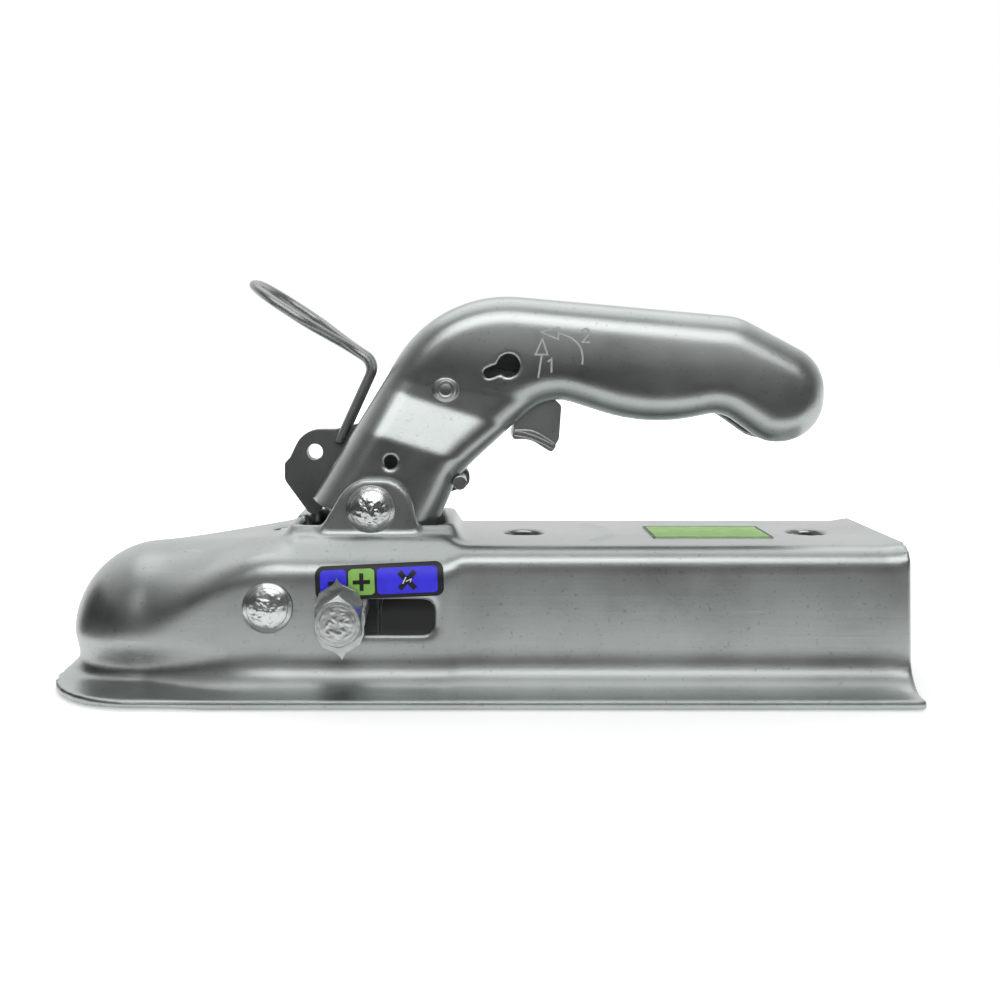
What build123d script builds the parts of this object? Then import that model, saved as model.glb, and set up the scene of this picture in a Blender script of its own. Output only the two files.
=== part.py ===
"""Ball coupling head for a square drawbar: pressed housing, clamp jaw, lever handle and safety catch.

Millimetres. The origin is the centre of the seated tow ball, +X points along the drawbar to the rear,
+Z is up, and the wear pointer is on the -Y side.
"""
import os
from math import atan2, cos, hypot, pi, radians, sin, tan

from build123d import *

# Tow ball and housing sheet
BALL_R = 25.0
SHEET = 3.0
NOSE_R = BALL_R + 0.3 + SHEET
BASE_Z = -15.0
FLANGE_Z = BASE_Z + SHEET
FLANGE_HALF = 48.0
FLANGE_FRONT = -29.8
FLANGE_CORNER_R = 33.0

# Housing stations along X: half width, top, top corner y, side corner z, their radii, foot, foot radius
NOSE_CORNER = NOSE_R * tan(radians(22.5))
NOSE_SECTION = (NOSE_R, NOSE_R, NOSE_CORNER, NOSE_CORNER, NOSE_R - 0.1, NOSE_R - 0.1, 25.6, 4.5)
NECK_SECTIONS = (
    (12.0, (31.0, 29.4, 11.0, 16.0, 24.0, 13.0, 29.6, 7.0)),
    (26.0, (34.0, 30.8, 14.0, 23.0, 17.0, 9.0, 33.7, 10.0)))
MID_SECTION = (35.0, 33.5, 25.0, 24.5, 8.5, 9.0, 35.0, 11.0)
REAR_SECTION = (33.75, 31.0, 29.6, 27.0, 6.5, 6.5, 33.75, 11.0)
MOUTH_SECTION = (35.0, 32.0, 30.8, 28.0, 6.5, 6.5, 35.0, 9.75)
MID_FRONT_X = 47.0
MID_REAR_X = 94.0
REAR_X = 99.0
MOUTH_X = 231.0
END_X = 237.0

# Lever handle shell
HANDLE_HALF = 20.0
HANDLE_SHEET = 2.5
HANDLE_EDGE_R = 9.5
HANDLE_PROFILE = (
    (50.8, 43.5, 0.0), (91.8, 111.3, 42.0), (189.8, 102.5, 20.0), (217.2, 87.7, 15.0),
    (217.2, 61.5, 15.0), (197.5, 61.5, 12.5), (183.5, 71.5, 10.0), (160.0, 66.5, 60.0),
    (127.0, 77.0, 14.0), (98.5, 51.5, 30.0), (90.3, 32.5, 0.0), (68.0, 33.5, 3.0), (56.8, 40.4, 3.0))
HANDLE_OPEN_EDGES = (10, 11, 12)
UNDER_SLOT_HALF = 11.0
FRONT_SLOT_HALF = 10.0

# Opening, collar and ears on the top of the housing
OPENING_X = (48.0, 93.5)
EAR_GAP = 0.4
EAR_IN = HANDLE_HALF + EAR_GAP
EAR_OUT = EAR_IN + SHEET
COLLAR_TOP = 36.6
EAR_PROFILE = ((52.3, 31.5, 0.0), (63.9, 51.3, 12.0), (82.5, 51.3, 11.0), (86.2, 31.5, 0.0))
NOTCH_FRONT_X = 37.0
NOTCH_HALF = 3.4

# Drawbar bolt holes
BOLT_HOLE_R = 6.5
BOLT_HOLES_X = (120.0, 214.0)

# Lever pivot, guide rivet and indicator bolt, as (x, z)
PIVOT = (70.5, 41.4)
GUIDE = (39.8, 12.9)
POINTER = (62.0, 10.0)
JAW_TRAVEL = 23.0
RIVET_R = 5.0
RIVET_HEAD_R = 7.8
BUSH_R = 6.5
SLEEVE_R = 6.8
RUN = 0.05
BOLT_R = 5.0
SLOT_HALF = 5.25
SLOT_CORNER_R = 2.8
SLOT_X = (POINTER[0] - SLOT_HALF - 0.3, POINTER[0] + JAW_TRAVEL + SLOT_HALF + 0.35)
HEX_FLATS_R = 7.0
WALL = MID_SECTION[0]
WASHER_Y = WALL + 0.5
SLEEVE_HALF = WALL - SHEET - 3.5

# Clamp jaw
CUP_R = BALL_R + 0.2
JAW_REST_X = -6.5
CHEEK_IN = 5.2
CHEEK_OUT = 12.0

# Inner lever: a fork on the pivot bush that drives the indicator bolt
LEVER_HALF = 4.5
LEVER_HUB_R = 9.5
FORK_ANGLE = 14.9
FORK_SLOT_R = BOLT_R + 0.65
FORK_ROOT = PIVOT[1] - POINTER[1] - BOLT_R - 0.9
FORK_END_R = 40.0
STOP_PIN = (98.6, 49.4)
STOP_PIN_R = 2.2

# Safety catch: pawl plate, trigger and wire loop, turning on a rivet in the handle
CATCH = (94.1, 79.1)
CATCH_RIVET_R = 2.5
PLATE_HALF = 2.75
PADLOCK = (50.6, 57.9)
PADLOCK_R = 2.65
WIRE_R = 1.5
LOOP_FOOT = (58.8, 61.4)
LOOP_BEND = (70.6, 87.3)
LOOP_TIP = (29.6, 114.2)
LOOP_HALF = 16.0
LOOP_ROLL = 2.6
TRIGGER_HALF = 9.0
TRIGGER_SHEET = 2.5
TRIGGER_LIP = 1.0
TRIGGER_PIN = (112.5, 78.5)

# Springs, as their two ends in the middle plane
CLOSING_SPRING = ((77.6, 28.4), (90.6, 33.1))
CATCH_SPRING = ((106.0, 87.7), (106.0, 103.0))

# Labels: wear label on the -Y wall, and the top label
WEAR_LABEL = (74.0, 21.0, 39.3, 10.2, 2.4)
TOP_LABEL = (180.5, -1.5, 39.0, 25.0)
LABEL_T = 0.3

SIDE = Plane((0, 0, 0), x_dir=(1, 0, 0), z_dir=(0, -1, 0))


def across(x):
    """Plane at station x with local axes Y and Z."""
    return Plane((x, 0, 0), x_dir=(0, 1, 0), z_dir=(1, 0, 0))


def rounded_face(points, plane):
    """Face from a closed run of (u, v, radius) corners."""
    runs = []
    count = len(points)
    for i, (u, v, r) in enumerate(points):
        pu, pv, _ = points[i - 1]
        nu, nv, _ = points[(i + 1) % count]
        if r == 0:
            runs.append(((u, v), None, (u, v)))
            continue
        la, lb = hypot(pu - u, pv - v), hypot(nu - u, nv - v)
        ax, ay, bx, by = (pu - u) / la, (pv - v) / la, (nu - u) / lb, (nv - v) / lb
        half = atan2(abs(ax * by - ay * bx), ax * bx + ay * by) / 2
        back = r / tan(half)
        mx, my = ax + bx, ay + by
        reach = (r / sin(half) - r) / hypot(mx, my)
        runs.append(((u + ax * back, v + ay * back), (u + mx * reach, v + my * reach),
                     (u + bx * back, v + by * back)))
    edges = []
    for i, (start, middle, end) in enumerate(runs):
        if middle is not None:
            edges.append(ThreePointArc(start, middle, end))
        following = runs[(i + 1) % count][0]
        if hypot(following[0] - end[0], following[1] - end[1]) > 1e-4:
            edges.append(Line(end, following))
    return plane * make_face(edges)


def inset(points, distances):
    """Corners moved inward by a distance for each edge; edge i runs from corner i to corner i + 1."""
    count = len(points)
    area = sum(points[i][0] * points[(i + 1) % count][1] - points[(i + 1) % count][0] * points[i][1]
               for i in range(count))
    turn = 1 if area > 0 else -1
    lines = []
    for i in range(count):
        (u, v, _), (nu, nv, _) = points[i], points[(i + 1) % count]
        length = hypot(nu - u, nv - v)
        du, dv = (nu - u) / length, (nv - v) / length
        lines.append((u - turn * dv * distances[i], v + turn * du * distances[i], du, dv))
    moved = []
    for i in range(count):
        u0, v0, du0, dv0 = lines[i - 1]
        u1, v1, du1, dv1 = lines[i]
        cross = du0 * dv1 - dv0 * du1
        step = ((u1 - u0) * dv1 - (v1 - v0) * du1) / cross
        r = points[i][2]
        if r:
            convex = cross * turn > 0
            r = r - distances[i] if convex else r + distances[i]
        moved.append((u0 + du0 * step, v0 + dv0 * step, r))
    return moved


def slab(points, half):
    """Solid with an XZ outline, symmetric about the middle plane."""
    return extrude(rounded_face(points, SIDE), half, both=True)


def rod(x, z, r, y0, y1):
    """Cylinder along Y."""
    return Pos(x, (y0 + y1) / 2, z) * Rot(90, 0, 0) * Cylinder(r, abs(y1 - y0))


def tube(x, z, r_out, r_in, y0, y1):
    return rod(x, z, r_out, y0, y1) - rod(x, z, r_in, min(y0, y1) - 1, max(y0, y1) + 1)


def dome(x, z, r, height, y, side):
    """Domed rivet head on a face at y, rising towards side (-1 or 1)."""
    ball_r = (r * r + height * height) / (2 * height)
    cap = Pos(x, y - side * (ball_r - height), z) * Sphere(ball_r)
    return cap & rod(x, z, r + 1, y, y + side * height * 2)


def rivet(x, z, r, head_r, head_h, half):
    body = rod(x, z, r, -half, half)
    for side in (-1, 1):
        body += dome(x, z, head_r, head_h, side * half, side)
    return body


def coil(start, end, mean_r, wire_r, turns):
    """Coil spring between two points in the middle plane."""
    axis = Vector(end[0] - start[0], 0, end[1] - start[1])
    frame = Plane((start[0], 0, start[1]), x_dir=(0, 1, 0), z_dir=axis.normalized())
    path = Helix(pitch=axis.length / turns, height=axis.length, radius=mean_r)
    section = Plane(path @ 0, z_dir=path % 0) * RegularPolygon(wire_r, 6)
    return frame * sweep(section, path=path, is_frenet=True)


# Housing sheet
def shoulder(section, depth):
    """Top and side corners of a section, moved inward by depth."""
    half, top, top_y, side_z, top_r, side_r = section[:6]
    slope = atan2(top - side_z, half - top_y)
    return [(top_y - depth * tan(slope / 2), top - depth, top_r - depth),
            (half - depth, side_z - depth * tan((pi / 2 - slope) / 2), side_r - depth)]


def sheet_side(section):
    """Outer and inner corners of the bent sheet on the +Y side, from the top down."""
    half, foot, foot_r = section[0], section[6], section[7]
    foot_r = min(foot_r, FLANGE_HALF - foot - 1.5)
    lean = (half - foot) / -FLANGE_Z
    outer = shoulder(section, 0.0) + [(half, 0.0, 0.0), (foot, FLANGE_Z, foot_r),
                                      (FLANGE_HALF, FLANGE_Z, 0.0)]
    inner_half = half - SHEET
    inner = shoulder(section, SHEET) + [(inner_half, 0.0, 0.0),
                                        (inner_half + lean * BASE_Z, BASE_Z, foot_r + SHEET),
                                        (FLANGE_HALF, BASE_Z, 0.0)]
    return outer, inner


def sheet_outline(section):
    """Closed outline of the bent sheet at one station, as (y, z, radius) corners."""
    outer, inner = sheet_side(section)
    right = outer + inner[::-1]
    return right + [(-y, z, r) for y, z, r in reversed(right)]


def sheet_face(x, section):
    return rounded_face(sheet_outline(section), across(x))


def make_nose():
    outer, inner = sheet_side(NOSE_SECTION)
    half = [(0.0, outer[0][1], 0.0)] + outer + inner[::-1] + [(0.0, inner[0][1], 0.0)]
    return revolve(rounded_face(half, across(0.0)), axis=Axis.Z, revolution_arc=180)


def make_housing():
    neck = loft([sheet_face(0.0, NOSE_SECTION)] + [sheet_face(x, s) for x, s in NECK_SECTIONS]
                + [sheet_face(MID_FRONT_X, MID_SECTION)])
    middle = extrude(sheet_face(MID_FRONT_X, MID_SECTION), MID_REAR_X - MID_FRONT_X)
    step = loft([sheet_face(MID_REAR_X, MID_SECTION), sheet_face(REAR_X, REAR_SECTION)], ruled=True)
    rear = extrude(sheet_face(REAR_X, REAR_SECTION), MOUTH_X - REAR_X)
    mouth = loft([sheet_face(MOUTH_X, REAR_SECTION), sheet_face(END_X, MOUTH_SECTION)], ruled=True)
    body = make_nose() + neck + middle + step + rear + mouth

    plan = rounded_face([(FLANGE_FRONT, -FLANGE_HALF, FLANGE_CORNER_R), (END_X, -FLANGE_HALF, 0.0),
                         (END_X, FLANGE_HALF, 0.0), (FLANGE_FRONT, FLANGE_HALF, FLANGE_CORNER_R)], Plane.XY)
    body = body & (Pos(0, 0, BASE_Z - 5) * extrude(plan, 80))

    front, back = OPENING_X
    base_z = MID_SECTION[1] - SHEET + 0.2
    centre = (front + back) / 2
    rim = Pos(centre, 0, base_z) * RectangleRounded(back - front + 14, 2 * EAR_OUT + 2.2, 6)
    collar = extrude(rim, COLLAR_TOP - base_z, taper=32)
    body = body + collar + slab(EAR_PROFILE, EAR_OUT)

    opening = Pos(centre, 0, 40) * extrude(RectangleRounded(back - front, 2 * EAR_IN, 3), 20, both=True)
    notch_x = (NOTCH_FRONT_X + front) / 2 + 2
    notch = Pos(notch_x, 0, 35) * Box(front - NOTCH_FRONT_X + 4, 2 * NOTCH_HALF, 20)
    body -= opening + notch

    slot = RectangleRounded(SLOT_X[1] - SLOT_X[0], 2 * SLOT_HALF, SLOT_CORNER_R)
    body -= Pos(sum(SLOT_X) / 2, 0, POINTER[1]) * Rot(90, 0, 0) * extrude(slot, 60, both=True)
    body -= rod(*PIVOT, RIVET_R + RUN, -40, 40)
    body -= rod(*GUIDE, RIVET_R + RUN, -60, 60)
    for x in BOLT_HOLES_X:
        body -= Pos(x, 0, 30) * Cylinder(BOLT_HOLE_R, 20)
    bead = Pos(BOLT_HOLES_X[0] + 4, 0, REAR_SECTION[1] - 0.5) * extrude(Circle(26.0) - Circle(23.5), 1.3)
    return body + (bead & Pos(148, 0, 31) * Box(14, 44, 10))


def make_spring_seat():
    """Wedge on the rear wall of the opening, square to the closing spring."""
    (x0, z0), (x1, z1) = CLOSING_SPRING
    length = hypot(x1 - x0, z1 - z0)
    du, dv = (x1 - x0) / length, (z1 - z0) / length
    x, z = x1 + 0.8 * du, z1 + 0.8 * dv
    wall = OPENING_X[1] - RUN
    low, high = (x + 4.2 * dv, z - 4.2 * du), (x - 4.2 * dv, z + 4.2 * du)
    return slab([low + (0,), (wall, low[1], 0), (wall, high[1], 0), high + (0,)], 6.0)


# Clamp jaw and its indicator bolt
def make_jaw():
    block = slab([(4.0, -13.0, 3.0), (72.0, -9.0, 6.0), (72.0, 19.5, 8.0), (52.0, 19.5, 5.0),
                  (49.0, 5.2, 2.0), (4.0, 5.2, 0.0)], 22.0)
    block -= Pos(JAW_REST_X, 0, 0) * Sphere(CUP_R)
    block -= Pos(75, 0, 5) * Box(56, 2 * CHEEK_IN, 60)
    for side in (-1, 1):
        block -= Pos(75, side * (CHEEK_OUT + 10), 5) * Box(56, 20, 60)
    return block - rod(*POINTER, BOLT_R + RUN, -40, 40)


def make_bolt(y_head, y_end):
    shank = rod(*POINTER, BOLT_R, y_head, y_end)
    facing = Pos(POINTER[0], y_head, POINTER[1]) * Rot(90, 0, 0)
    head = extrude(RegularPolygon(HEX_FLATS_R, 6, major_radius=False, rotation=30), 6.4)
    cone = Pos(0, 0, 3.2) * Cone(HEX_FLATS_R + 2.9, HEX_FLATS_R - 0.8, 9.0)
    return shank + facing * (head & cone)


def make_nut(y0, y1):
    hexagon = RegularPolygon(HEX_FLATS_R, 6, major_radius=False, rotation=30)
    body = Pos(POINTER[0], y1, POINTER[1]) * Rot(90, 0, 0) * extrude(hexagon, y1 - y0)
    return body - rod(*POINTER, BOLT_R + RUN, y0 - 1, y1 + 1)


def make_pointer():
    """Washer with a hollow-sided point above and below."""
    y = -WASHER_Y - 1.25
    flank = [(0.7, 11.2), (1.6, 10.3), (3.4, 9.4), (5.7, 8.2), (7.2, 5.0)]
    right = flank + [(u, -v) for u, v in reversed(flank)]
    outline = [(0.0, 12.4)] + right + [(0.0, -12.4)] + [(-u, v) for u, v in reversed(right)]
    points = extrude(Rot(0, 0, 4) * Polygon(*outline, align=None), 1.25, both=True)
    body = Pos(POINTER[0], y, POINTER[1]) * Rot(90, 0, 0) * points
    body += rod(*POINTER, 7.8, y - 1.25, y + 1.25)
    return body - rod(*POINTER, BOLT_R + RUN, y - 5, y + 5)


def make_spacers():
    near, far = CHEEK_OUT + RUN, WALL - SHEET - 0.4
    sleeves = [tube(*POINTER, 7.5, BOLT_R + RUN, side * near, side * far).solid() for side in (-1, 1)]
    return Compound(sleeves)


# Lever handle
def make_handle():
    outer = slab(HANDLE_PROFILE, HANDLE_HALF)
    rim = outer.edges().filter_by(lambda e: abs(abs(e.center().Y) - HANDLE_HALF) < 1e-3)
    bottom = [e for e in rim if e.center().Z < 43.4 and e.center().X < 90.4]
    outer = fillet([e for e in rim if e not in bottom], HANDLE_EDGE_R)

    depths = [-3.0 if i in HANDLE_OPEN_EDGES else HANDLE_SHEET for i in range(len(HANDLE_PROFILE))]
    void = slab(inset(HANDLE_PROFILE, depths), HANDLE_HALF - HANDLE_SHEET)
    rim = void.edges().filter_by(lambda e: abs(abs(e.center().Y) - HANDLE_HALF + HANDLE_SHEET) < 1e-3)
    bottom = [e for e in rim if e.center().Z < 40.0 and e.center().X < 88.0]
    void = fillet([e for e in rim if e not in bottom], HANDLE_EDGE_R - HANDLE_SHEET)
    shell = outer - void

    shell -= slab([(60, 20, 0), (110, 20, 0), (215, 30, 0), (207, 74, 0), (190, 80, 0), (160, 78, 0),
                   (127, 86, 0), (108, 74, 0), (88, 52, 0), (78, 36, 0)], UNDER_SLOT_HALF)
    shell -= slab([(30, 30, 0), (62, 30, 0), (64, 48, 0), (84, 80, 0), (70, 88, 0), (30, 60, 0)],
                  FRONT_SLOT_HALF)
    heel = slab([(91.39, 35.04, 0), (94.0, 29.0, 0), (87.54, 32.62, 0)], 30)
    shell -= heel - rod(87.72, 36.62, 4.0, -40, 40)
    shell -= rod(*PIVOT, BUSH_R + RUN, -30, 30)
    shell -= rod(*CATCH, CATCH_RIVET_R + RUN, -30, 30)
    shell -= rod(114.2, 86.7, 3.65, -30, 0)
    shell -= Pos(110.25, -15, 85.2) * Rot(0, -21.8, 0) * Box(8.1, 30, 3.2)
    shell -= rod(76.6, 56.0, 2.2, -30, 30)
    shell -= rod(*STOP_PIN, STOP_PIN_R + 0.02, -30, 30)
    return shell


def make_lever():
    lean = radians(FORK_ANGLE)

    def arm(along, over, r=0.0):
        """Corner on the lever: along the arm from the pivot, over to its rear side."""
        return (PIVOT[0] - sin(lean) * along + cos(lean) * over,
                PIVOT[1] - cos(lean) * along - sin(lean) * over, r)

    hub = rod(*PIVOT, LEVER_HUB_R, -LEVER_HALF, LEVER_HALF)
    fork = slab([arm(2, -7), arm(20, -8, 6), arm(26, -11, 6), arm(FORK_END_R, -11, 4),
                 arm(FORK_END_R, 11, 4), arm(26, 11, 6), arm(20, 8, 6), arm(2, 7)], LEVER_HALF)
    tail = slab([(70.5, 33.5, 0), (90.0, 43.0, 6), (101.9, 47.0, 3), (101.9, 52.8, 3), (92.0, 52.8, 6),
                 (70.5, 50.5, 0)], LEVER_HALF)
    end_r = FORK_SLOT_R - 0.01
    mouth = slab([arm(FORK_ROOT, -FORK_SLOT_R, end_r), arm(FORK_END_R + 5, -FORK_SLOT_R),
                  arm(FORK_END_R + 5, FORK_SLOT_R), arm(FORK_ROOT, FORK_SLOT_R, end_r)], 20)
    (x0, z0), (x1, z1) = CLOSING_SPRING
    length = hypot(x1 - x0, z1 - z0)
    du, dv = (x1 - x0) / length * 3.5, (z1 - z0) / length * 3.5
    peg = slab([(x0 - 2.2 * du - dv / 2, z0 - 2.2 * dv + du / 2, 0), (x0 + du - dv / 2, z0 + dv + du / 2, 0),
                (x0 + du + dv / 2, z0 + dv - du / 2, 0),
                (x0 - 2.2 * du + dv / 2, z0 - 2.2 * dv - du / 2, 0)], 1.75)
    body = hub + fork + tail + peg - mouth
    return body - rod(*PIVOT, BUSH_R + RUN, -20, 20) - rod(*STOP_PIN, STOP_PIN_R + 0.02, -20, 20)


# Safety catch
def make_plate():
    plate = slab([(57.4, 65.3, 1.5), (46.8, 65.3, 8.5), (42.4, 56.1, 1), (40.6, 54.2, 1.5), (40.6, 48.6, 4),
                  (48.4, 38.0, 1),
                  (50.7, 36.8, 1.5), (53.0, 39.0, 1), (53.6, 50.5, 4), (64.0, 60.0, 6), (86.0, 69.5, 8),
                  (104.0, 74.3, 6), (117.0, 74.3, 2), (119.0, 84.0, 4), (96.0, 89.0, 9), (86.0, 88.0, 8),
                  (66.5, 67.5, 6)], PLATE_HALF)
    return (plate - rod(*PADLOCK, PADLOCK_R, -20, 20) - rod(*CATCH, CATCH_RIVET_R + RUN, -20, 20)
            - rod(*TRIGGER_PIN, 2.0 + RUN, -20, 20))


def make_trigger():
    solid = slab([(108.0, 83.0, 3), (108.0, 74.0, 3), (116.8, 70.5, 3), (116.0, 63.0, 1.2), (121.5, 63.0, 8),
                  (128.6, 58.8, 1.5), (131.0, 62.5, 3), (131.8, 73.6, 2), (121.5, 83.0, 4)], TRIGGER_HALF)
    room = slab([(100, 90, 0), (100, 74.0, 0), (117.0, 73.5, 0), (118.4, 66.6, 2), (128.2, 64.8, 2),
                 (129.2, 73.6, 0), (129.2, 90, 0)], TRIGGER_HALF - TRIGGER_SHEET)
    lip = slab([(115.6, 62.6, 0.9), (121.5, 62.6, 8), (128.6, 58.2, 1.2), (130.2, 60.8, 0.9),
                (122.6, 65.6, 10), (116.2, 65.6, 0.9)], TRIGGER_HALF + TRIGGER_LIP)
    return solid - room + lip - rod(*TRIGGER_PIN, 2.0 + RUN, -20, 20)


def make_loop():
    """One wire: two legs on the faces of the plate, bent over into an oval finger loop."""
    foot, bend, tip = (Vector(x, 0, z) for x, z in (LOOP_FOOT, LOOP_BEND, LOOP_TIP))
    leg, strand = (bend - foot).normalized(), (tip - bend).normalized()
    upper = Vector(-strand.Z, 0, strand.X) * -1
    sideways = Vector(0, cos(radians(LOOP_ROLL)), 0) + upper * sin(radians(LOOP_ROLL))
    root = (PLATE_HALF + WIRE_R) / cos(radians(LOOP_ROLL))
    bend_r = 5.0
    turn = leg.get_angle(strand)
    back = bend_r * tan(radians(turn / 2))
    inward = (strand - leg).normalized()
    reach = bend_r / cos(radians(turn / 2)) - bend_r

    legs = []
    for side in (-1, 1):
        shift = sideways * (side * root)
        start, end = bend + shift - leg * back, bend + shift + strand * back
        legs.append([Line(foot + shift, start), ThreePointArc(start, bend + shift + inward * reach, end)])
    long = (tip - bend).length - WIRE_R
    half = [(back, -root), (10.0, -root), (25.0, -LOOP_HALF), (long, -LOOP_HALF)]
    flat = FilletPolyline(*half, *[(u, -v) for u, v in reversed(half)], radius=13.0)
    oval = Plane(bend, x_dir=strand, z_dir=strand.cross(sideways)) * flat
    path = Wire([e for part in legs[0] for e in part.edges()] + list(oval.edges())
                + [e for part in legs[1] for e in part.edges()])
    section = Plane(foot - sideways * root, z_dir=leg) * Circle(WIRE_R)
    return sweep(section, path=path)


def make_wear_label():
    """Film that follows the wall over its shoulder."""
    x, z, length, height, tilt = WEAR_LABEL

    def block(depth):
        corners = shoulder(MID_SECTION, depth) + [(WALL - depth, 0.0, 0.0)]
        outline = corners + [(-y, zz, r) for y, zz, r in reversed(corners)]
        return extrude(rounded_face(outline, across(MID_FRONT_X)), MID_REAR_X - MID_FRONT_X)

    cut = extrude(Rot(0, 0, tilt) * RectangleRounded(length, height, 2.5), 10, both=True)
    return (block(-LABEL_T) - block(0.0)) & Pos(x, -WALL, z) * Rot(90, 0, 0) * cut


def make_top_label():
    x, y, length, width = TOP_LABEL
    return Pos(x, y, REAR_SECTION[1]) * extrude(RectangleRounded(length, width, 1.5), LABEL_T)


parts = {
    "housing": make_housing(),
    "pivot_rivet": rivet(*PIVOT, RIVET_R, RIVET_HEAD_R, 2.8, EAR_OUT),
    "pivot_bush": tube(*PIVOT, BUSH_R, RIVET_R + RUN, -EAR_IN, EAR_IN),
    "guide_rivet": rivet(*GUIDE, RIVET_R, RIVET_HEAD_R, 2.5, WALL + 0.4),
    "guide_sleeve": tube(*GUIDE, SLEEVE_R, RIVET_R + RUN, -SLEEVE_HALF, SLEEVE_HALF),
    "clamp_jaw": make_jaw(),
    "indicator_bolt": make_bolt(-WASHER_Y - 2.5, WASHER_Y + 14.0),
    "handle": make_handle(),
    "inner_lever": make_lever(),
    "stop_pin": rod(*STOP_PIN, STOP_PIN_R, -HANDLE_HALF, HANDLE_HALF),
    "pawl_plate": make_plate(),
    "trigger": make_trigger(),
    "wire_loop": make_loop(),
    "pointer_washer": make_pointer(),
    "plain_washer": tube(*POINTER, 10.0, BOLT_R + RUN, WASHER_Y, WASHER_Y + 2.0),
    "lock_nut": make_nut(WASHER_Y + 2.0, WASHER_Y + 11.0),
    "bolt_spacers": make_spacers(),
    "catch_rivet": rivet(*CATCH, CATCH_RIVET_R, 4.5, 1.8, HANDLE_HALF),
    "trigger_pin": rod(*TRIGGER_PIN, 2.0, -TRIGGER_HALF, TRIGGER_HALF),
    "spring_seat": make_spring_seat(),
    "closing_spring": coil(*CLOSING_SPRING, 3.6, 0.75, 5),
    "catch_spring": coil(*CATCH_SPRING, 3.2, 0.6, 5),
    "wear_label": make_wear_label(),
    "top_label": make_top_label(),
}

if __name__ == "__main__":
    os.makedirs("parts", exist_ok=True)
    for node, shape in parts.items():
        print(node, round(shape.volume), len(shape.solids()), shape.is_valid)
        export_step(shape, f"parts/{node}.step")
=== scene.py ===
from math import cos, hypot, pi, radians, sin

import bmesh
import bpy
from mathutils import Matrix, Vector, noise
from mathutils.bvhtree import BVHTree


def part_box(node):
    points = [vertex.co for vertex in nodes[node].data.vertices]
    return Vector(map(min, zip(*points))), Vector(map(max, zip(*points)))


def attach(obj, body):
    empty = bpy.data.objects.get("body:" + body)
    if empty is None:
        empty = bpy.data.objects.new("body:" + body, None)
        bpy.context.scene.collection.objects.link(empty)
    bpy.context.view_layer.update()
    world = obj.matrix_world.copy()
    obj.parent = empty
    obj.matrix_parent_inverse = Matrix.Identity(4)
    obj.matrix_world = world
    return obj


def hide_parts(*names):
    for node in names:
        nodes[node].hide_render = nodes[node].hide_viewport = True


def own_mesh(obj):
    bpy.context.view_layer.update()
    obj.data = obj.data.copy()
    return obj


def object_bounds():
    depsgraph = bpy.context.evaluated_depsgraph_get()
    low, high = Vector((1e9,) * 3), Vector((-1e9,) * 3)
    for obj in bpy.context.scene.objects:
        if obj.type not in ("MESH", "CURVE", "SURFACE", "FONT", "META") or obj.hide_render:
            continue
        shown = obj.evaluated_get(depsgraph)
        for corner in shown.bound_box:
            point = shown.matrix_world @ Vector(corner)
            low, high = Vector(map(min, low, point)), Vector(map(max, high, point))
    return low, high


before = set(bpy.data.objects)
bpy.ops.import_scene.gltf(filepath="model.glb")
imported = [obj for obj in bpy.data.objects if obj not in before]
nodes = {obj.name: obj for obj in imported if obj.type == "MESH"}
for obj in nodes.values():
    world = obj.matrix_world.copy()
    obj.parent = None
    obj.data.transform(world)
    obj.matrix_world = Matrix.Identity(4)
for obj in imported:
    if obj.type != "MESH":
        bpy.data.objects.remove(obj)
cad_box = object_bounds()
scene = bpy.context.scene

MM = 0.001


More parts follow.
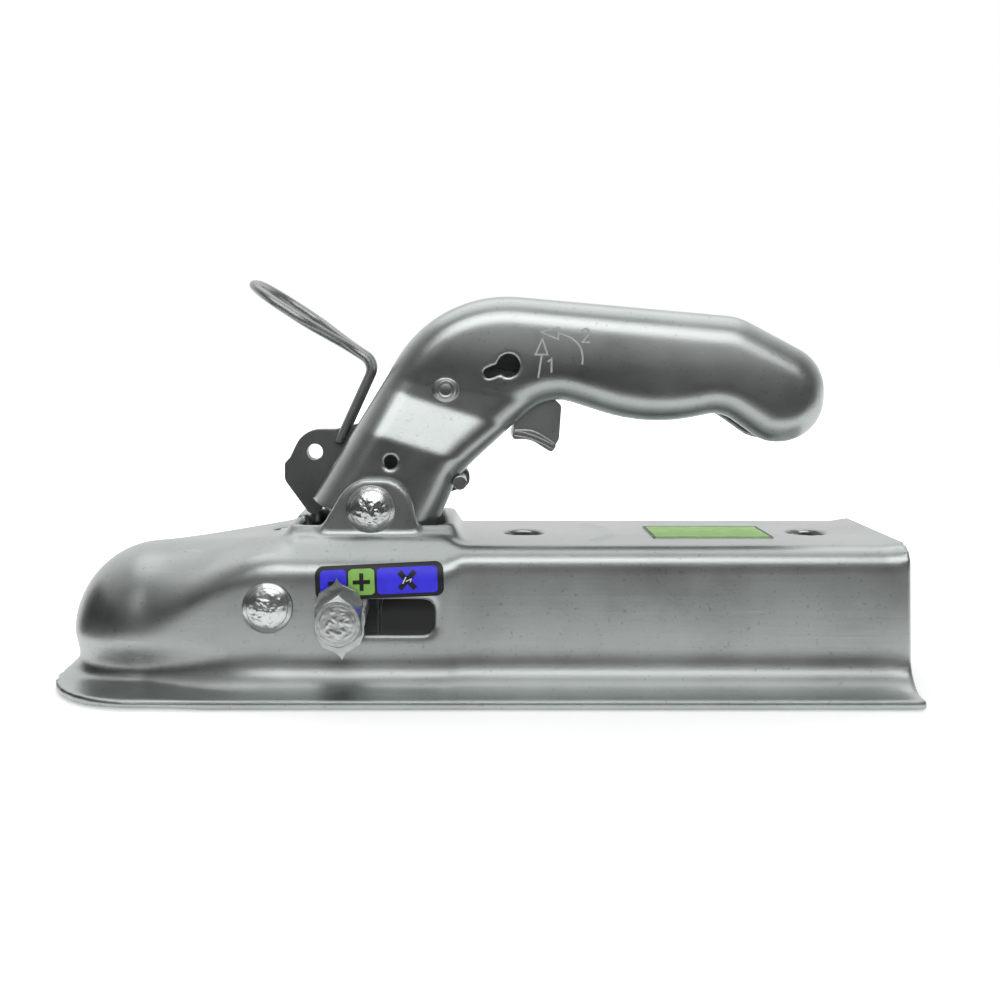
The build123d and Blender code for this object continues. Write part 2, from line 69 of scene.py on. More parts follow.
# Materials
class Shader:
    """A node material with short calls for its nodes and links."""

    def __init__(self, name):
        self.material = bpy.data.materials.new(name)
        self.material.use_nodes = True
        self.tree = self.material.node_tree
        self.surface = self.tree.nodes["Principled BSDF"]
        self.coords = self.node("ShaderNodeTexCoord").outputs["Object"]

    def node(self, kind, **settings):
        made = self.tree.nodes.new(kind)
        for key, value in settings.items():
            setattr(made, key, value)
        return made

    def link(self, output, target):
        self.tree.links.new(output, target)

    def placed(self, stretch, turn):
        """Object coordinates turned about Y and stretched."""
        mapping = self.node("ShaderNodeMapping")
        mapping.inputs["Scale"].default_value = stretch
        mapping.inputs["Rotation"].default_value = (0.0, radians(turn), 0.0)
        self.link(self.coords, mapping.inputs["Vector"])
        return mapping.outputs["Vector"]

    def noise(self, scale, detail=4.0, rough=0.55, stretch=None, turn=0.0):
        tex = self.node("ShaderNodeTexNoise")
        tex.inputs["Scale"].default_value = scale
        tex.inputs["Detail"].default_value = detail
        tex.inputs["Roughness"].default_value = rough
        self.link(self.placed(stretch, turn) if stretch else self.coords, tex.inputs["Vector"])
        return tex.outputs["Fac"]

    def cells(self, scale):
        tex = self.node("ShaderNodeTexVoronoi", feature="SMOOTH_F1")
        tex.inputs["Scale"].default_value = scale
        self.link(self.coords, tex.inputs["Vector"])
        return tex.outputs["Distance"]

    def ramp(self, fac, stops):
        made = self.node("ShaderNodeValToRGB")
        elements = made.color_ramp.elements
        while len(elements) < len(stops):
            elements.new(0.5)
        for element, (at, colour) in zip(elements, stops):
            element.position = at
            element.color = (*colour, 1.0)
        self.link(fac, made.inputs["Fac"])
        return made.outputs["Color"]

    def spread(self, fac, low, high, start=0.0, end=1.0):
        made = self.node("ShaderNodeMapRange")
        for key, value in (("From Min", start), ("From Max", end), ("To Min", low), ("To Max", high)):
            made.inputs[key].default_value = value
        self.link(fac, made.inputs["Value"])
        return made.outputs["Result"]

    def mix(self, fac, a, b, mode="MIX"):
        made = self.node("ShaderNodeMix", data_type="RGBA", blend_type=mode)
        if isinstance(fac, float):
            made.inputs[0].default_value = fac
        else:
            self.link(fac, made.inputs[0])
        for socket, value in ((made.inputs[6], a), (made.inputs[7], b)):
            if isinstance(value, tuple):
                socket.default_value = (*value, 1.0)
            else:
                self.link(value, socket)
        return made.outputs[2]

    def edges(self, radius_mm):
        """Rounded normal, and a mask that is 1 along the edges."""
        bevel = self.node("ShaderNodeBevel", samples=6)
        bevel.inputs["Radius"].default_value = radius_mm * MM
        dot = self.node("ShaderNodeVectorMath", operation="DOT_PRODUCT")
        self.link(bevel.outputs["Normal"], dot.inputs[0])
        self.link(self.node("ShaderNodeNewGeometry").outputs["Normal"], dot.inputs[1])
        return bevel.outputs["Normal"], self.spread(dot.outputs["Value"], 1.0, 0.0, 0.85, 0.99)

    def finish(self, colour, rough, heights, metallic, normal=None):
        """heights is a list of (height output, depth in mm) bumps, laid over the normal."""
        self.link(colour, self.surface.inputs["Base Color"])
        self.link(rough, self.surface.inputs["Roughness"])
        self.surface.inputs["Metallic"].default_value = metallic
        for height, depth in heights:
            bump = self.node("ShaderNodeBump")
            bump.inputs["Distance"].default_value = depth * MM
            self.link(height, bump.inputs["Height"])
            if normal is not None:
                self.link(normal, bump.inputs["Normal"])
            normal = bump.outputs["Normal"]
        if normal is not None:
            self.link(normal, self.surface.inputs["Normal"])
        return self.material


def shade(colour, factor):
    return tuple(min(1.0, c * factor) for c in colour)


def zinc(name, tint, rough, rolled=False, hammered=0.0, edge_mm=0.4, shade_inside=False):
    """Zinc plating: cloudy patches, pinholes, rubbed edges, and rolling or hammer marks, and on request
    painted shade that darkens the faces looking into the housing.
    """
    s = Shader(name)
    cloud = s.noise(34.0, 5.0, 0.62)
    base = s.ramp(cloud, [(0.25, shade(tint, 0.82)), (0.52, tint), (0.8, shade(tint, 1.1))])
    pinholes = s.ramp(s.noise(700.0, 2.0, 0.5), [(0.26, (0.55, 0.56, 0.56)), (0.36, (1.0, 1.0, 1.0))])
    base = s.mix(0.5, base, pinholes, "MULTIPLY")
    normal, edge = s.edges(edge_mm)
    worn = s.ramp(s.noise(160.0, 3.0, 0.6), [(0.35, (0.0, 0.0, 0.0)), (0.62, (1.0, 1.0, 1.0))])
    base = s.mix(s.mix(1.0, edge, worn, "MULTIPLY"), base, shade(tint, 1.3))
    bumps = [(s.noise(1400.0, 3.0, 0.6), 0.026), (s.noise(60.0, 3.0, 0.5), 0.06)]
    if rolled:
        streaks = s.noise(120.0, 4.0, 0.6, stretch=(0.12, 1.0, 6.0))
        rub = s.ramp(streaks, [(0.6, (0.0, 0.0, 0.0)), (0.72, (1.0, 1.0, 1.0))])
        base = s.mix(s.spread(rub, 0.0, 0.3), base, shade(tint, 1.28))
        bumps.append((streaks, 0.02))
    if hammered:
        bumps.append((s.cells(520.0), hammered))
    if shade_inside:
        # painted shade: the faces that look into the housing are darkened towards a near-black colour
        inner = s.node("ShaderNodeAttribute", attribute_name=INSIDE).outputs["Fac"]
        base = s.mix(inner, base, INSIDE_SHADE)
    return s.finish(base, s.spread(cloud, rough - 0.06, rough + 0.10), bumps, 1.0, normal)


def film(name, colour, rough=0.4, shine=0.5):
    """Printed label film with ink mottling and scuffs."""
    s = Shader(name)
    ink = s.ramp(s.noise(260.0, 4.0, 0.6), [(0.3, shade(colour, 0.86)), (0.7, shade(colour, 1.08))])
    rubs = s.noise(420.0, 5.0, 0.7, stretch=(1.0, 1.0, 3.0))
    scuff = s.ramp(rubs, [(0.68, (0.0, 0.0, 0.0)), (0.76, (1.0, 1.0, 1.0))])
    ink = s.mix(s.spread(scuff, 0.0, 0.22), ink, (0.5, 0.51, 0.52))
    s.surface.inputs["Specular IOR Level"].default_value = shine
    sheen = s.spread(s.noise(150.0), rough - 0.06, rough + 0.1)
    return s.finish(ink, sheen, [(s.noise(600.0), 0.01)], 0.0)


def cast(name, tint):
    """Rough cast iron."""
    s = Shader(name)
    body = s.ramp(s.noise(120.0, 5.0, 0.65), [(0.3, shade(tint, 0.7)), (0.7, shade(tint, 1.25))])
    normal, edge = s.edges(0.6)
    body = s.mix(s.spread(edge, 0.0, 0.5), body, shade(tint, 2.0))
    rough = s.spread(s.noise(90.0), 0.5, 0.75)
    return s.finish(body, rough, [(s.noise(800.0, 4.0, 0.6), 0.12)], 0.8, normal)


INSIDE = "inside"
INWARD = (0.1, 0.6)
# near-black colour of the painted shade inside the housing
INSIDE_SHADE = (0.075, 0.078, 0.076)
ZINC = (0.48, 0.512, 0.50)
SHEET = zinc("zinc_sheet", ZINC, 0.34, rolled=True, shade_inside=True)
HANDLE = zinc("zinc_handle", ZINC, 0.31)
FASTENER = zinc("zinc_fastener", (0.66, 0.69, 0.68), 0.25, hammered=0.09)
BOLT = zinc("zinc_bolt", (0.60, 0.63, 0.62), 0.30, hammered=0.08)
DULL = zinc("dull_zinc", (0.25, 0.268, 0.265), 0.40)
WIRE = zinc("zinc_wire", (0.36, 0.38, 0.375), 0.36)
BARE = zinc("turned_steel", (0.44, 0.45, 0.45), 0.32)
STAMPED = film("stamped_lines", (0.40, 0.43, 0.42))
JAW = cast("cast_jaw", (0.16, 0.163, 0.166))
BLACK = film("ink_black", (0.010, 0.010, 0.014))
BLUE = film("ink_blue", (0.036, 0.026, 0.86))
GREEN = film("ink_green", (0.26, 0.55, 0.10))
TOP_GREEN = film("label_green", (0.46, 0.78, 0.28), 0.55, 0.15)
WHITE = film("ink_scratch", (0.78, 0.80, 0.84))

LOOKS = {
    SHEET: ("housing",),
    HANDLE: ("handle", "trigger", "catch_rivet"),
    FASTENER: ("pivot_rivet", "guide_rivet", "plain_washer", "lock_nut", "stop_pin", "trigger_pin"),
    BOLT: ("indicator_bolt", "pointer_washer"),
    BARE: ("pivot_bush", "guide_sleeve", "bolt_spacers", "closing_spring", "catch_spring"),
    DULL: ("spring_seat", "inner_lever", "pawl_plate"),
    WIRE: ("wire_loop",),
    JAW: ("clamp_jaw",),
    BLACK: ("wear_label",),
    TOP_GREEN: ("top_label",),
}
for look, names in LOOKS.items():
    for name in names:
        mesh = nodes[name].data
        mesh.materials.clear()
        mesh.materials.append(look)
nodes["top_label"].visible_glossy = False  # the grip would show it as a green line


# Pressed sheet: the CAD solids with their edges and joins rounded as by the press
GRIP_STEP = 2.5
GRIP_CROWN = 1.6
ARM_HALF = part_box("handle")[1].y / MM
JOGGLE_FOOT = (70.0, 65.2)
JOGGLE_LENGTH = 15.0
JOGGLE_ANGLE = radians(17.5)
GRIP_MIDDLE = (127.0, 92.6)
GRIP_FALL = -0.16
GRIP_HALF_HEIGHT = 18.0


def modified(mesh, kind, shares=None, **settings):
    """Copy of a mesh as one modifier leaves it; shares is how much of it each vertex takes."""
    work = bpy.data.objects.new("work", mesh)
    scene.collection.objects.link(work)
    modifier = work.modifiers.new("work", kind)
    if shares:
        group = work.vertex_groups.new(name="shares")
        for index, share in enumerate(shares):
            group.add([index], share, "REPLACE")
        modifier.vertex_group = group.name
    for key, value in settings.items():
        setattr(modifier, key, value)
    made = work.evaluated_get(bpy.context.evaluated_depsgraph_get())
    mesh = bpy.data.meshes.new_from_object(made)
    bpy.data.objects.remove(work)
    return mesh


def pressed(node, body, voxel_mm, passes, form=None, plug=None):
    """Rounded copy of a node. form moves its points, in mm, before the smoothing passes
    of (rounds, share), where share(point) is how much of the pass a point takes; plug closes a hole."""
    mesh = nodes[node].data.copy()
    if plug:
        add_plug(mesh, *plug)
    mesh = modified(mesh, "REMESH", mode="VOXEL", voxel_size=voxel_mm * MM)
    if form:
        for vertex in mesh.vertices:
            vertex.co = form(vertex.co / MM) * MM
    for rounds, share in passes:
        shares = [share(v.co / MM) for v in mesh.vertices] if share else None
        mesh = modified(mesh, "SMOOTH", shares, factor=0.5, iterations=rounds)
    return stand_in(f"{node}_pressed", mesh, body, node)


def add_plug(mesh, x, z, radius, y, thickness):
    """Disc along Y, added to a mesh that is remeshed next."""
    bm = bmesh.new()
    bm.from_mesh(mesh)
    place = Matrix.Translation(Vector((x, y, z)) * MM) @ Matrix.Rotation(pi / 2, 4, "X")
    bmesh.ops.create_cone(bm, cap_ends=True, segments=32, radius1=radius * MM, radius2=radius * MM,
                          depth=thickness * MM, matrix=place)
    bm.to_mesh(mesh)
    bm.free()


def near_seam(point):
    """Most on the seam between the nose and the neck."""
    return max(0.0, 1.0 - abs(point.x - NOSE_SEAM) / SEAM_REACH)


def off_holes(point):
    """Nothing round the holes of the handle, which stay crisp."""
    return min(min(1.0, max(0.0, hypot(point.x - x, point.z - z) - r)) for x, z, r in CRISP)


def stand_in(name, mesh, body, node, smooth=True):
    """Piece that takes the place of a CAD node."""
    mesh.polygons.foreach_set("use_smooth", [smooth] * len(mesh.polygons))
    piece = bpy.data.objects.new(name, mesh)
    scene.collection.objects.link(piece)
    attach(piece, body)
    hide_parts(node)
    return piece


def mark_inside(mesh):
    """Attribute that rises to 1 where the faces look into the housing: the mask of the painted shade
    there.
    """
    inside = mesh.attributes.new(INSIDE, "FLOAT", "POINT")
    for vertex, value in zip(mesh.vertices, inside.data):
        place, normal = vertex.co / MM, vertex.normal
        outward = Vector((min(place.x, 0.0), place.y, max(place.z, 0.0)))
        inward = -normal.dot(outward.normalized())
        value.value = min(1.0, max(0.0, (inward - INWARD[0]) / (INWARD[1] - INWARD[0])))


def wall_in(x, z):
    """How far the handle's walls stand in: not at all on the arms, by a step and a crown on the grip."""
    up = (x - JOGGLE_FOOT[0]) * sin(JOGGLE_ANGLE) + (z - JOGGLE_FOOT[1]) * cos(JOGGLE_ANGLE)
    share = min(1.0, max(0.0, up / JOGGLE_LENGTH))
    off = (z - GRIP_MIDDLE[1] - GRIP_FALL * (x - GRIP_MIDDLE[0])) / GRIP_HALF_HEIGHT
    return share * (GRIP_STEP + GRIP_CROWN * min(1.0, off * off))


def grip_form(point):
    return Vector((point.x, point.y * (1.0 - wall_in(point.x, point.z) / ARM_HALF), point.z))


def set_rivet(point):
    """Rivet shortened to the grip's walls, with its heads pressed flatter."""
    wall = ARM_HALF - wall_in(*CATCH)
    over = max(0.0, abs(point.y) - ARM_HALF)
    y = min(abs(point.y), ARM_HALF) * wall / ARM_HALF + HEAD_SHARE * over
    return Vector((point.x, y if point.y > 0 else -y, point.z))


def full_plate(point):
    """Pawl plate with its inner corner filled out to behind the handle's front edge."""
    (x0, x1), (z0, z1) = PLATE_CORNER
    if x0 < point.x < x1 and z0 < point.z < z1:
        return point + Vector(PLATE_FILL)
    return point


def reshaped(node, form):
    mesh = nodes[node].data.copy()
    for vertex in mesh.vertices:
        vertex.co = form(vertex.co / MM) * MM
    return mesh


def middle_of(node):
    low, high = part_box(node)
    return (low.x + high.x) / 2 / MM, (low.z + high.z) / 2 / MM


CATCH = middle_of("catch_rivet")
HEAD_SHARE = 0.55
PLATE_CORNER = ((53.2, 56.0), (48.0, 53.0))
PLATE_FILL = (1.5, 0.0, -1.5)
NOSE_SEAM, SEAM_REACH = 4.0, 18.0
SMALL_HOLE = (76.6, 56.0)
KEYHOLE = (112.3, 86.0)
CRISP = ((*SMALL_HOLE, 4.5), (*KEYHOLE, 9.0))
FAR_WALL = ARM_HALF - 1.25
PLUG_RADIUS, PLUG_DEPTH = 3.2, 2.4
HOUSING_VOXEL, HOUSING_PASSES = 1.1, ((5, None), (40, near_seam))
HANDLE_VOXEL, HANDLE_PASSES = 0.75, ((1, None), (6, off_holes))
# the housing's inward-facing faces get the mask of their painted shade
mark_inside(pressed("housing", "frame", HOUSING_VOXEL, HOUSING_PASSES).data)
handle = pressed("handle", "lever", HANDLE_VOXEL, HANDLE_PASSES, grip_form,
                 plug=(*SMALL_HOLE, PLUG_RADIUS, FAR_WALL, PLUG_DEPTH))
rivet = reshaped("catch_rivet", set_rivet)
stand_in("catch_rivet_set", rivet, "lever", "catch_rivet")
plate = reshaped("pawl_plate", full_plate)
stand_in("pawl_plate_full", plate, "catch", "pawl_plate", smooth=False)

# Springs, with their free end and seat in mm and the share of the length left at the joint's limit; here
# each spring is only copied onto its body
SPRINGS = (("closing_spring", "frame", "lever_pivot", (77.6, 0.0, 28.4), (90.6, 0.0, 33.1), 0.2),
           ("catch_spring", "lever", "catch_pivot", (106.0, 0.0, 87.7), (106.0, 0.0, 103.0), 0.75))
for node, body, joint, end, seat, keep in SPRINGS:
    spring = stand_in(f"{node}_coil", nodes[node].data.copy(), body, node)
    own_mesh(spring)


# Printing and stamped signs
def add_piece(name, bm, material, body):
    bmesh.ops.recalc_face_normals(bm, faces=bm.faces)
    mesh = bpy.data.meshes.new(name)
    bm.to_mesh(mesh)
    bm.free()
    piece = bpy.data.objects.new(name, mesh)
    scene.collection.objects.link(piece)
    mesh.materials.append(material)
    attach(piece, body)


def lift(bm, rise):
    """Give the mesh's faces a thickness along rise."""
    lifted = bmesh.ops.extrude_face_region(bm, geom=list(bm.faces))
    corners = [v for v in lifted["geom"] if isinstance(v, bmesh.types.BMVert)]
    bmesh.ops.translate(bm, vec=rise, verts=corners)


def stroke(path, width, closed=False):
    """Quads of a line of constant width along a path of (u, v) points."""
    count = len(path)
    sides = []
    for i, (u, v) in enumerate(path):
        before = path[i - 1] if i or closed else path[i]
        after = path[(i + 1) % count] if i + 1 < count or closed else path[i]
        ends = [(b[0] - a[0], b[1] - a[1]) for a, b in ((before, (u, v)), ((u, v), after)) if a != b]
        units = [(du / hypot(du, dv), dv / hypot(du, dv)) for du, dv in ends]
        nu, nv = -sum(d[1] for d in units), sum(d[0] for d in units)
        size = hypot(nu, nv)
        reach = width / 2 / max(0.5, size / len(units)) / size
        sides.append(((u + nu * reach, v + nv * reach), (u - nu * reach, v - nv * reach)))
    following = sides[1:] + sides[:1] if closed else sides[1:]
    return [(left, right, next_right, next_left)
            for (left, right), (next_left, next_right) in zip(sides, following)]


def stamp(name, quads, place, thickness, material, body):
    """Raised lines on a face: quads in mm, place(u, v) is a point in mm, thickness is a vector."""
    bm = bmesh.new()
    for quad in quads:
        bm.faces.new([bm.verts.new(place(u, v) * MM) for u, v in quad])
    bmesh.ops.remove_doubles(bm, verts=bm.verts, dist=1e-7)
    lift(bm, thickness * MM)
    add_piece(name, bm, material, body)


# Forged relief on the heads of the rivets and the bolt
def surface_of(mesh):
    return BVHTree.FromPolygons([v.co for v in mesh.vertices], [p.vertices for p in mesh.polygons])


def forged(radius, depth, seed):
    """Height of an uneven forged pattern that fades to nothing at the rim."""
    def height(r, x, z):
        spot = Vector((x * GRAIN, seed, z * GRAIN))
        rough = max(0.0, noise.noise(spot) + FINE_SHARE * noise.noise(spot * FINE_GRAIN)) ** 0.5
        return depth * rough * min(1.0, (radius - r) / (RIM_SHARE * radius))
    return height


def ringed(radius, depth, width):
    """Height of a raised ring part of the way out, as a riveting tool leaves it."""
    def height(r, x, z):
        return depth * max(0.0, 1.0 - abs(r - RING_AT * radius) / width)
    return height


def relief(name, mesh, body, centre, radius, side, height, material, rings=26, spokes=84):
    """Cap that follows a head and carries a pattern given by height(r, x, z)."""
    head = surface_of(mesh)
    bm = bmesh.new()

    def point(r, a):
        x, z = centre[0] + r * cos(a), centre[1] + r * sin(a)
        hit = head.ray_cast(Vector((x, side * OUTSIDE, z)) * MM, Vector((0, -side, 0)))[0]
        return hit + Vector((0, side * (CAP_PROUD + height(r, x, z)) * MM, 0))

    middle = bm.verts.new(point(0.0, 0.0))
    rows = []
    for k in range(1, rings + 1):
        r = radius * k / rings
        rows.append([bm.verts.new(point(r, 2 * pi * j / spokes)) for j in range(spokes)])
    for j in range(spokes):
        bm.faces.new((middle, rows[0][j], rows[0][(j + 1) % spokes]))
        for inner, outer in zip(rows, rows[1:]):
            bm.faces.new((inner[j], outer[j], outer[(j + 1) % spokes], inner[(j + 1) % spokes]))
    lift(bm, Vector((0, -side * CAP_DEPTH * MM, 0)))
    bm.normal_update()
    for face in bm.faces:
        face.smooth = abs(face.normal.y) > RIM_NORMAL
    add_piece(name, bm, material, body)


GRAIN, FINE_GRAIN, FINE_SHARE = 0.62, 2.3, 0.6
RIM_SHARE = 0.3
RIM_NORMAL = 0.2
OUTSIDE = 100.0
CAP_PROUD, CAP_DEPTH = 0.02, 0.3
SIDE_NAMES = {-1: "near", 1: "far"}
FORGED = (
    ("pivot_relief", "pivot_rivet", "frame", "pivot_rivet", (-1, 1), 6.4, 0.22, 1.0, FASTENER),
    ("guide_relief", "guide_rivet", "frame", "guide_rivet", (-1, 1), 6.4, 0.25, 9.0, FASTENER),
    ("bolt_relief", "indicator_bolt", "jaw", "lock_nut", (-1,), 5.6, 0.15, 17.0, BOLT))
for name, node, body, centre, sides, radius, depth, seed, look in FORGED:
    for side in sides:
        relief(f"{name}_{SIDE_NAMES[side]}", nodes[node].data, body, middle_of(centre), radius, side,
               forged(radius, depth, seed + 2 * side), look)
SET_RADIUS = 4.3
RING_AT, RING_HEIGHT, RING_WIDTH = 0.62, 0.35, 0.7
for side, side_name in SIDE_NAMES.items():
    relief(f"catch_ring_{side_name}", rivet, "lever", CATCH, SET_RADIUS, side,
           ringed(SET_RADIUS, RING_HEIGHT, RING_WIDTH), HANDLE)


# Wear label: three fields with a sign each, on the film's curved face
label_low, label_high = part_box("wear_label")
label_face = surface_of(nodes["wear_label"].data)
LABEL_TILT = radians(2.4)
LABEL_X = (label_low.x + label_high.x) / 2
LABEL_Z = (label_low.z + label_high.z) / 2
FIELD_HEIGHT = 7.9
FIELD_RADIUS = 1.1
MINUS_U, PLUS_U, CROSS_U = -14.1, -5.5, 8.5
FIELDS = (("minus", MINUS_U, 8.1, BLUE), ("plus", PLUS_U, 8.0, GREEN), ("cross", CROSS_U, 18.5, BLUE))
INK_DEPTH = 0.04
FIELD_PROUD, SIGN_PROUD, CROSSING_PROUD, SCRATCH_PROUD = 0.02, 0.07, 0.08, 0.13
MINUS_LENGTH, PLUS_LENGTH, SIGN_WIDTH = 3.4, 5.3, 1.25
CROSS_LENGTH, CROSS_WIDTH, CROSS_TURN = 7.0, 1.6, 47


def on_label(u, v, proud):
    """Point on the label's face for label coordinates in mm, standing proud of it."""
    x = LABEL_X + (u * cos(LABEL_TILT) - v * sin(LABEL_TILT)) * MM
    z = LABEL_Z + (u * sin(LABEL_TILT) + v * cos(LABEL_TILT)) * MM
    hit = label_face.ray_cast(Vector((x, label_low.y - 0.01, z)), Vector((0, 1, 0)))[0]
    return hit - Vector((0, proud * MM, 0))


def grid(name, rows, proud, material):
    """Patch of ink from rows of (u, v) label points."""
    bm = bmesh.new()
    points = [[bm.verts.new(on_label(u, v, proud)) for u, v in row] for row in rows]
    for lower, upper in zip(points, points[1:]):
        for i in range(len(lower) - 1):
            bm.faces.new((lower[i], lower[i + 1], upper[i + 1], upper[i]))
    lift(bm, Vector((0, -INK_DEPTH * MM, 0)))
    add_piece(name, bm, material, "frame")


def field_rows(centre, width, height, radius, columns=9, steps=14):
    """Rows across a rounded rectangle."""
    rows = []
    for k in range(steps + 1):
        v = height * (k / steps - 0.5)
        over = max(0.0, abs(v) - (height / 2 - radius))
        half = width / 2 - radius + (radius ** 2 - over ** 2) ** 0.5
        rows.append([(centre + half * (2 * i / columns - 1), v) for i in range(columns + 1)])
    return rows


def bar_rows(centre, length, width, turn, columns=8):
    """Rows of a straight bar, turned about its centre."""
    c, s = cos(radians(turn)), sin(radians(turn))
    rows = []
    for v in (-width / 2, 0.0, width / 2):
        us = [length * (i / columns - 0.5) for i in range(columns + 1)]
        rows.append([(centre + u * c - v * s, u * s + v * c) for u in us])
    return rows


for name, centre, width, ink in FIELDS:
    grid(f"{name}_field", field_rows(centre, width, FIELD_HEIGHT, FIELD_RADIUS), FIELD_PROUD, ink)
grid("minus_sign", bar_rows(MINUS_U, MINUS_LENGTH, SIGN_WIDTH, 0), SIGN_PROUD, BLACK)
grid("plus_bar", bar_rows(PLUS_U, PLUS_LENGTH, SIGN_WIDTH, 0), SIGN_PROUD, BLACK)
grid("plus_post", bar_rows(PLUS_U, PLUS_LENGTH, SIGN_WIDTH, 90), CROSSING_PROUD, BLACK)
grid("cross_stroke_a", bar_rows(CROSS_U, CROSS_LENGTH, CROSS_WIDTH, CROSS_TURN), SIGN_PROUD, BLACK)
grid("cross_stroke_b", bar_rows(CROSS_U, CROSS_LENGTH, CROSS_WIDTH, -CROSS_TURN), CROSSING_PROUD, BLACK)
SCRATCHES = ((7.6, 2.2, 0.35, 62), (8.8, 1.6, 0.28, 20), (9.6, 1.3, 0.25, 75))
for i, (centre, length, width, turn) in enumerate(SCRATCHES):
    grid(f"label_scratch_{i}", bar_rows(centre, length, width, turn), SCRATCH_PROUD, WHITE)

# Top label: a thin dark border
top_low, top_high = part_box("top_label")
BORDER_IN, BORDER_WIDTH, BORDER_RISE = 0.55, 0.9, 0.05
SUNK = 0.01
front, rear = top_low.x / MM + BORDER_IN, top_high.x / MM - BORDER_IN
near, far = top_low.y / MM + BORDER_IN, top_high.y / MM - BORDER_IN
ring = [(front, near), (rear, near), (rear, far), (front, far)]


def on_top_label(u, v):
    return Vector((u, v, top_high.z / MM - SUNK))


stamp("top_label_border", stroke(ring, BORDER_WIDTH, closed=True), on_top_label,
      Vector((0, 0, BORDER_RISE)), BLACK, "frame")

# Operating signs on the handle: push up, then swing over
handle_face = surface_of(handle.data)
LINE = 0.6
FIRST_ARROW = ((123.7, 82.8), (124.8, 90.2))
FIRST_HEAD = ((122.8, 90.2), (126.6, 90.2), (125.0, 95.2))
SECOND_HEAD = ((124.6, 97.4), (130.2, 98.9), (130.0, 95.1))
DIGIT_ONE = ((-0.9, 1.3), (0.3, 2.2), (0.3, -2.2))
DIGIT_TWO = ((-1.3, 1.2), (-0.9, 1.9), (0.0, 2.2), (0.9, 1.9),
             (1.3, 1.2), (1.1, 0.4), (-1.3, -2.2), (1.4, -2.2))
ONE_AT, TWO_AT = (127.6, 86.6), (138.9, 96.3)
SIGN_RISE = 0.2
ARC_ENDS = ((137.7, 87.0), (139.0, 95.0), (130.1, 97.0))


def arc(start, pull, end, steps=12):
    """Points of a curve from start to end, pulled towards a third point."""
    points = []
    for k in range(steps + 1):
        t = k / steps
        weights = ((1 - t) ** 2, 2 * t * (1 - t), t * t)
        points.append(tuple(sum(w * p[i] for w, p in zip(weights, (start, pull, end))) for i in (0, 1)))
    return points


def moved(path, du, dv):
    return [(u + du, v + dv) for u, v in path]


def fine(path, closed=False, step=0.8):
    """Path with points close enough to follow a curved wall."""
    points = []
    for (u0, v0), (u1, v1) in zip(path, path[1:] + path[:1] if closed else path[1:]):
        count = max(1, round(hypot(u1 - u0, v1 - v0) / step))
        points += [(u0 + (u1 - u0) * k / count, v0 + (v1 - v0) * k / count) for k in range(count)]
    return points if closed else points + [path[-1]]


def arrow_head(corners):
    return stroke(fine(corners, closed=True), LINE, closed=True)


def on_handle(u, v):
    """Point on the near wall of the handle, in mm."""
    return handle_face.ray_cast(Vector((u, -2 * ARM_HALF, v)) * MM, Vector((0, 1, 0)))[0] / MM


SIGNS = {
    "first_arrow": stroke(fine(FIRST_ARROW), LINE) + arrow_head(FIRST_HEAD),
    "second_arrow": stroke(arc(*ARC_ENDS), LINE) + arrow_head(SECOND_HEAD),
    "digit_one": stroke(fine(moved(DIGIT_ONE, *ONE_AT)), LINE),
    "digit_two": stroke(fine(moved(DIGIT_TWO, *TWO_AT)), LINE),
}
for name, quads in SIGNS.items():
    stamp(name, quads, on_handle, Vector((0, -SIGN_RISE, 0)), STAMPED, "lever")


# Ridges along the finger lip of the trigger
trigger_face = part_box("trigger")[0].y / MM + SUNK
LIP_PATH = ((116.2, 64.4), (121.6, 64.2), (129.0, 59.9))
LIP_RIDGES = (-0.75, 0.75)
RIDGE_WIDTH, RIDGE_RISE = 0.55, 0.3


def on_trigger(u, v):
    return Vector((u, trigger_face, v))


for i, offset in enumerate(LIP_RIDGES):
    curve = stroke(arc(*moved(LIP_PATH, 0.0, offset)), RIDGE_WIDTH)
    stamp(f"lip_ridge_{i}", curve, on_trigger, Vector((0, -RIDGE_RISE, 0)), HANDLE, "catch")


# Camera, light and floor
camera_data = bpy.data.cameras.new("camera")
camera_data.sensor_width = 36.0
camera_data.lens = 45.0
camera_data.clip_start = 0.01
camera_data.shift_x = 0.043
camera_data.shift_y = -0.152
camera = bpy.data.objects.new("camera", camera_data)
scene.collection.objects.link(camera)
camera.location = (0.0977, -0.417, 0.0923)
camera.rotation_euler = (pi / 2, 0.0, 0.0)
scene.camera = camera


def area(name, place, target, size, power):
    data = bpy.data.lights.new(name, "AREA")
    data.shape = "RECTANGLE"
    data.size, data.size_y = size
    data.energy = power
    lamp = bpy.data.objects.new(name, data)
    lamp.location = place
    lamp.rotation_euler = (Vector(target) - Vector(place)).to_track_quat("-Z", "Y").to_euler()
    scene.collection.objects.link(lamp)


MIDDLE = (0.1, 0.0, 0.03)
area("overhead", (0.1, 0.15, 1.1), MIDDLE, (1.4, 0.9), 3.4)
area("front_soft", (0.15, -0.95, 0.78), MIDDLE, (1.2, 0.8), 6.6)


def flag(name, start, end, top):
    """Dark card that stands on the floor for the metal to reflect, out of the camera's sight."""
    corners = [(*start, ground), (*end, ground), (*end, top), (*start, top)]
    mesh = bpy.data.meshes.new(name)
    mesh.from_pydata(corners, [], [(0, 1, 2, 3)])
    card = bpy.data.objects.new(name, mesh)
    card.visible_camera = card.visible_diffuse = card.visible_shadow = False
    scene.collection.objects.link(card)
    mesh.materials.append(CARD)


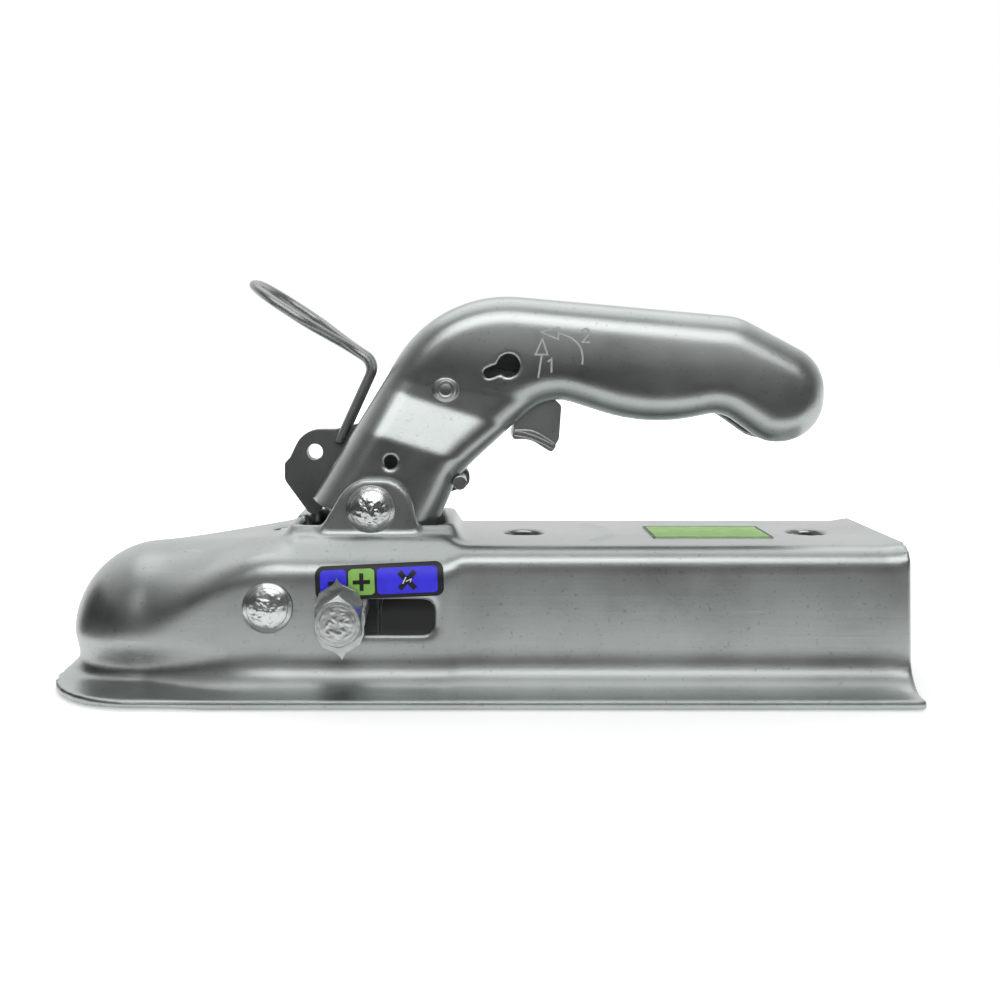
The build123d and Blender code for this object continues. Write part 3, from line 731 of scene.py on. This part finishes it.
card_look = Shader("dark_card")
card_tone = card_look.ramp(card_look.noise(8.0), [(0.3, (0.02, 0.02, 0.02)), (0.7, (0.03, 0.03, 0.03))])
CARD = card_look.finish(card_tone, card_look.spread(card_look.noise(30.0), 0.7, 0.8), [], 0.0)
ground = cad_box[0].z
FLAG_Y, FLAG_TOP = -0.14, 0.083
flag("front_flag", (-0.9, FLAG_Y), (1.1, FLAG_Y), FLAG_TOP)
SIDE_X, SIDE_TOP = -0.085, 0.05
flag("side_flag", (SIDE_X, -0.25), (SIDE_X, 0.03), SIDE_TOP)

world = bpy.data.worlds.new("studio")
scene.world = world
world.use_nodes = True
tree = world.node_tree
background = tree.nodes["Background"]
direction = tree.nodes.new("ShaderNodeTexCoord")
split = tree.nodes.new("ShaderNodeSeparateXYZ")
sides = tree.nodes.new("ShaderNodeValToRGB")
across = tree.nodes.new("ShaderNodeMapRange")
across.inputs["From Min"].default_value = -1.0
tree.links.new(direction.outputs["Generated"], split.inputs["Vector"])
tree.links.new(split.outputs["Y"], across.inputs["Value"])
tree.links.new(across.outputs["Result"], sides.inputs["Fac"])
tree.links.new(sides.outputs["Color"], background.inputs["Color"])
WORLD = ((0.0, 0.10), (0.3, 0.16), (0.55, 0.50), (0.8, 1.0))
stops = sides.color_ramp.elements
while len(stops) < len(WORLD):
    stops.new(0.5)
for stop, (at, value) in zip(stops, WORLD):
    stop.position = at
    stop.color = (value, value, value, 1.0)

FLOOR_HALF, FLOOR_GAP = 6.0, 0.0002
bm = bmesh.new()
bmesh.ops.create_grid(bm, x_segments=2, y_segments=2, size=FLOOR_HALF)
floor_mesh = bpy.data.meshes.new("floor")
bm.to_mesh(floor_mesh)
bm.free()
floor = bpy.data.objects.new("floor", floor_mesh)
floor.location = (MIDDLE[0], 0.0, ground - FLOOR_GAP)
scene.collection.objects.link(floor)
NEAR_GLOW, FAR_GLOW = 0.38, 1.0
GLOW_FROM, GLOW_TO = 0.1, 0.6
paper = Shader("pale_floor")
tone = paper.ramp(paper.noise(3.0), [(0.3, (0.90, 0.905, 0.905)), (0.7, (0.92, 0.925, 0.925))])
paper.link(tone, paper.surface.inputs["Emission Color"])
seen = paper.node("ShaderNodeLightPath")
shown = None
for ray in ("Is Camera Ray", "Is Glossy Ray", "Is Transmission Ray"):
    either = paper.node("ShaderNodeMath", operation="MAXIMUM")
    paper.link(seen.outputs[ray], either.inputs[0])
    if shown:
        paper.link(shown, either.inputs[1])
    shown = either.outputs["Value"]
depth = paper.node("ShaderNodeSeparateXYZ")
paper.link(paper.coords, depth.inputs["Vector"])
glow = paper.node("ShaderNodeMath", operation="MULTIPLY")
paper.link(shown, glow.inputs[0])
paper.link(paper.spread(depth.outputs["Y"], NEAR_GLOW, FAR_GLOW, GLOW_FROM, GLOW_TO), glow.inputs[1])
paper.link(glow.outputs["Value"], paper.surface.inputs["Emission Strength"])
floor_mesh.materials.append(paper.finish(tone, paper.spread(paper.noise(20.0), 0.6, 0.7), [], 0.0))

scene.view_settings.view_transform = "Standard"
